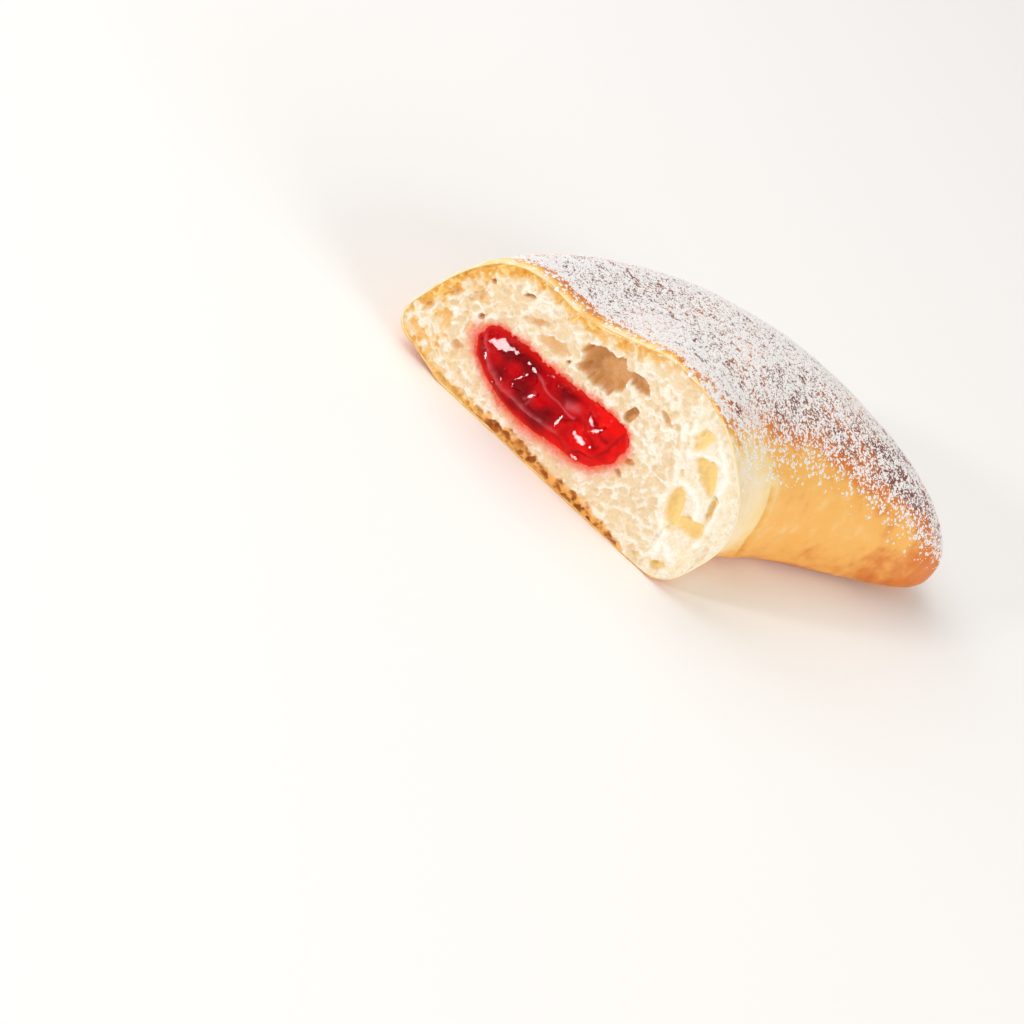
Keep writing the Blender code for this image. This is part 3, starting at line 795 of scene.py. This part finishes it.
# Facets of gel that face the window: across, up, half the length and width, and the turn.
JAM_FACETS_MM = [
    (-19.4, 16.9, 3.3, 1.15, 24), (-21.0, 12.3, 1.3, 0.40, -50), (-13.2, 17.6, 0.65, 0.38, 0),
    (-11.5, 17.2, 0.75, 0.42, 0), (-12.8, 14.4, 1.2, 0.30, 63), (-15.6, 10.9, 0.6, 0.26, -40),
    (-13.1, 12.2, 0.6, 0.24, -55), (-1.7, 12.5, 1.4, 0.45, 95), (3.2, 17.6, 1.3, 0.48, -34),
    (5.1, 16.8, 1.3, 0.45, 50), (3.9, 13.2, 1.4, 0.85, 0), (6.2, 13.5, 0.55, 0.45, 0),
    (4.9, 8.7, 1.3, 0.50, 15), (-8.9, 12.6, 1.1, 0.30, 55), (-16.6, 8.9, 0.4, 0.25, 20),
]


def jam_face(points):
    """The depth of the jam's surface behind the cut, and the masks of its colours, with painted shade in its
    creases and a painted reflection along its skins.
    """
    from_edge = np.maximum(into_jam(points) + JAM_UNDER_MM, 0)
    bent = points + 0.9 * bend(points, 2.8, 56) + 0.25 * bend(points, 0.9, 58)
    swell = -JAM_EDGE_BACK / MM + 1.9 * (1 - np.exp(-from_edge / 0.9))
    lumps = np.zeros(len(points))
    for across, up, half_length, half_width, turn, high in JAM_LUMPS_MM:
        share = hollow_share(bent, across, up, half_length, half_width, turn)
        lumps = np.maximum(lumps, high * np.clip(1 - share ** 2, 0, 1) ** 0.8)
    flat = smooth_step(from_edge, 0.4, 1.7)
    skin, proud = np.zeros(len(points)), np.zeros(len(points))
    for line, half_width, high in JAM_SKINS_MM:
        over = np.exp(-(away_from_line(bent * 0.4 + points * 0.6, line) / half_width) ** 2)
        skin = np.maximum(skin, over)
        proud = np.maximum(proud, over * high)
    crease = np.zeros(len(points))
    for line in JAM_CREASES_MM:
        crease = np.maximum(crease, np.exp(-(away_from_line(bent, line) / 0.45) ** 2))
    drawn = np.array(JAM_SKINS_MM[0][0])
    below = points[:, 1] < np.interp(points[:, 0], drawn[:, 0], drawn[:, 1])
    shelf = below * smooth_step(away_from_line(points, drawn), 0.1, 1.0)
    ripple = mixed_waves(points, (0.42, 3.2, 51), (0.26, 1.5, 52), (0.09, 0.7, 53))
    height = swell + flat * (lumps + ripple + proud - 0.40 * shelf - 0.20 * crease)
    ragged = 1.08 + mixed_waves(points, (0.40, 0.9, 54), (0.35, 0.45, 49))
    for across, up, half_length, half_width, turn in JAM_FACETS_MM:
        share = hollow_share(points, across, up, half_length, half_width, turn) * ragged
        weight = 1 - smooth_step(share, 0.85, 1.35)
        middle = height[np.argmin(share)]
        rise = FACET_RISE + FACET_RISE_CHANGE * ([across, up] - FACET_MIDDLE_MM)
        plane = middle + (points - [across, up]) @ rise
        height += weight * (plane - height)
    fruit = smooth_step(points[:, 0] + 2.0 * waves(points, 2.6, 59), -3.5, 2.5)
    masks = {
        # Painted shade: the deep red also darkens the creases between the layers of fruit.
        "deep": flat * (1 - 0.8 * fruit) * np.clip(0.64 + 1.1 * waves(points, 3.4, 55), 0, 1) + crease * 0.45,
        "thin": 0.65 * np.exp(-(from_edge / 1.1) ** 2) + 0.15 * shelf,
        "fruit": fruit * (0.55 + 0.45 * waves(points, 1.6, 60)) * (1 - 0.6 * crease),
        # Painted reflection: the skins are tinted pale pink, as if they caught the light.
        "skin": skin * flat * (0.75 + 0.35 * waves(points, 1.1, 50)),
    }
    return -height, masks


def reach_to_outline(ray, outline):
    """How far it is from the middle along a ray to the first side of an outline."""
    nearest = math.inf
    for start, end in zip(outline, np.roll(outline, -1, axis=0)):
        run = end - start
        across_ray = ray[0] * run[1] - ray[1] * run[0]
        if abs(across_ray) < ALMOST_NOTHING:
            continue
        reach = (start[0] * run[1] - start[1] * run[0]) / across_ray
        share = (start[0] * ray[1] - start[1] * ray[0]) / across_ray
        if reach > 0 and -ALMOST_NOTHING <= share <= 1 + ALMOST_NOTHING:
            nearest = min(nearest, reach)
    return nearest


jam = skin_behind_cut("jam_filling", "jam", 2)
points = read_points(jam.data)
at_cut = points[:, 1] < CUT_Y + SAME_PLACE
# The rim of the jam's own solid is moved out to just beyond the outline, under the crumb.
outline = np.array(JAM_OUTLINE_MM) - JAM_MIDDLE_MM
place = np.column_stack([(points[:, 0] - CUT_X) / MM, points[:, 2] / MM]) - JAM_MIDDLE_MM
for row in np.nonzero(at_cut)[0]:
    ray = place[row] / np.linalg.norm(place[row])
    x_mm, z_mm = JAM_MIDDLE_MM + ray * (reach_to_outline(ray, outline) + JAM_UNDER_MM)
    points[row] = (CUT_X + x_mm * MM, CUT_Y + JAM_EDGE_BACK, z_mm * MM)
write_points(jam.data, points)
places, on_sheet = close_cut(jam, JAM_SPACING, 54, lambda points: jam_face(points)[0])
write_sheet_masks(jam.data, jam_face(places[on_sheet])[1], on_sheet)

# Set strawberry jam: a clear red gel with a wet gloss, deep red where it is thick and scarlet where it is
# thin. Shade is painted darker red into the creases between the fruit, and a pale pink reflection is painted
# along the drawn skin.
red_jam, tree, shader = new_material("set_red_jam")
where = add_node(tree, "TexCoord", {}, {})["Object"]
# Fruit pulp hangs in it in shreds 1.5 mm across.
pulp = add_noise(tree, where, 650.0, 3.0, Distortion=0.6)
shade = add_mix(tree, pulp, linear("#AE0008"), linear("#D2020E"))
# Along the creases the deep tint is painted shade, and the skin tint is a painted pink reflection.
JAM_SHADES = [("deep", 0.82, "#68000A"), ("thin", 0.75, "#E0281A"), ("fruit", 0.90, "#F01610"),
              ("skin", 0.50, "#DE6C74")]
for name, strength, colour in JAM_SHADES:
    mask = add_node(tree, "Attribute", {"attribute_name": name}, {})["Fac"]
    shade = add_mix(tree, add_maths(tree, "MULTIPLY", mask, strength), shade, linear(colour))
# The surface quivers in ripples 1.1 mm apart.
ripples = add_noise(tree, where, 900.0, 2.0)
bump = add_node(tree, "Bump", {}, {"Height": ripples, "Strength": 0.10, "Distance": 0.15 * MM})[0]
tree.links.new(shade, shader.inputs["Base Color"])
tree.links.new(bump, shader.inputs["Normal"])
shader.inputs["Roughness"].default_value = 0.07
shader.inputs["IOR"].default_value = 1.38
shader.inputs["Specular IOR Level"].default_value = 0.14
shader.inputs["Subsurface Weight"].default_value = 0.20
shader.inputs["Subsurface Radius"].default_value = (1.0, 0.04, 0.03)
shader.inputs["Subsurface Scale"].default_value = 1.2 * MM
jam.data.materials.append(red_jam)
jam.data.shade_smooth()
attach(jam, "root")
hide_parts("jam_filling")

# ---- Icing sugar ----------------------------------------------------------------------------
# Fine white sugar sifted over the baked bun. On top it lies as small clumps that nearly touch,
# with dark crust in the gaps between them, and it thins out to single grains down the sides.

CLUMP_HALF_WIDTHS = (0.17 * MM, 0.50 * MM)
CLUMP_BURIED = 0.05 * MM
CLUMP_AREA = 0.16 * MM * MM
THICKEST = 5.0
CLUMPS_IN_PIECE = 24000
CLUMP_SIDES = 5

# Icing sugar: ground sugar with a little starch, so it is dead matt and slightly cool white.
powder, tree, shader = new_material("icing_sugar_powder")
where = add_node(tree, "TexCoord", {}, {})["Object"]
# The grain of the powder, 0.25 mm, is drawn coarser than the real 0.05 mm so that it shows.
grain = add_noise(tree, where, 4000.0, 2.0)
white = add_mix(tree, grain, linear("#ECE9E8"), linear("#F6F4F4"))
tree.links.new(white, shader.inputs["Base Color"])
shader.inputs["Roughness"].default_value = 1.0
shader.inputs["Specular IOR Level"].default_value = 0.1

# Places are drawn evenly over the outside of the crust, and kept where enough sugar lies.
# The thicker it lies, the more evenly it is spread and the smaller are the clumps.
draw = np.random.default_rng(70)
crust.data.calc_loop_triangles()
triangles = [(*face.vertices, face.area) for face in crust.data.loop_triangles
             if face.polygon_index < outer_faces]
corners, areas = np.array(triangles)[:, :3].astype(int), np.array(triangles)[:, 3]
points = read_points(crust.data)
outward = read_points(crust.data, "normal")
facing_up = outward[corners, 2].mean(1)
cover = sugar_cover(points[corners].mean(1), facing_up, (points[corners, 1].mean(1) - CUT_Y) / MM)
has_sugar = cover > 0.01
corners, areas = corners[has_sugar], areas[has_sugar]
tries = int(areas.sum() * THICKEST / CLUMP_AREA)
chosen = corners[draw.choice(len(corners), tries, p=areas / areas.sum())]
shares = draw.dirichlet((1, 1, 1), tries)[..., None]
ground = (points[chosen] * shares).sum(1)
facing = (outward[chosen] * shares).sum(1)
cover = sugar_cover(ground, facing[:, 2], (ground[:, 1] - CUT_Y) / MM)
clumping = mixed_waves(ground, (0.7, 1.2 * MM, 71), (0.6, 0.6 * MM, 72))
thickness = -np.log(1 - np.clip(cover, 0, 0.975)) * np.clip(1 + (2.05 - cover) * clumping, 0.05, 2.2)
kept = draw.random(tries) * THICKEST < thickness
ground, facing = ground[kept], facing[kept]

# Each clump is a low, uneven dome of five sides. They are shared out from one end to the other.
count = len(ground)
along = np.cross(facing, draw.normal(size=(count, 3)))
along /= np.linalg.norm(along, axis=1)[:, None]
beside = np.cross(facing, along)
small, large = CLUMP_HALF_WIDTHS
half_width = small * (large / small) ** (draw.random(count) ** 1.5) * (1.35 - 0.4 * cover[kept])
around = np.arange(CLUMP_SIDES) * math.tau / CLUMP_SIDES
around = around + draw.uniform(-0.4, 0.4, (count, CLUMP_SIDES))
reach = half_width[:, None] * draw.uniform(0.7, 1.2, (count, CLUMP_SIDES))
narrow = draw.uniform(0.6, 1.0, count)
ring = (ground[:, None] - facing[:, None] * CLUMP_BURIED
        + along[:, None] * (np.cos(around) * reach)[..., None]
        + beside[:, None] * (np.sin(around) * reach * narrow[:, None])[..., None])
lean = draw.uniform(-0.35, 0.35, (count, 2)) * half_width[:, None]
rise = half_width * draw.uniform(0.25, 0.60, count)
top = ground + facing * rise[:, None] + along * lean[:, :1] + beside * lean[:, 1:]
points = np.concatenate([ring, top[:, None]], 1)
dome = np.array([(i, (i + 1) % CLUMP_SIDES, CLUMP_SIDES) for i in range(CLUMP_SIDES)]
                + [(0, i + 1, i) for i in range(1, CLUMP_SIDES - 1)])
order = np.argsort(ground[:, 0])
for number, first in enumerate(range(0, count, CLUMPS_IN_PIECE), 1):
    mine = points[order[first:first + CLUMPS_IN_PIECE]]
    faces = dome[None] + (CLUMP_SIDES + 1) * np.arange(len(mine))[:, None, None]
    name = f"sugar_clumps_{number}"
    made = bpy.data.meshes.new(name)
    made.from_pydata(mine.reshape(-1, 3).tolist(), [], faces.reshape(-1, 3).tolist())
    clumps = bpy.data.objects.new(name, made)
    bpy.context.scene.collection.objects.link(clumps)
    clumps.data.materials.append(powder)
    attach(clumps, "root")
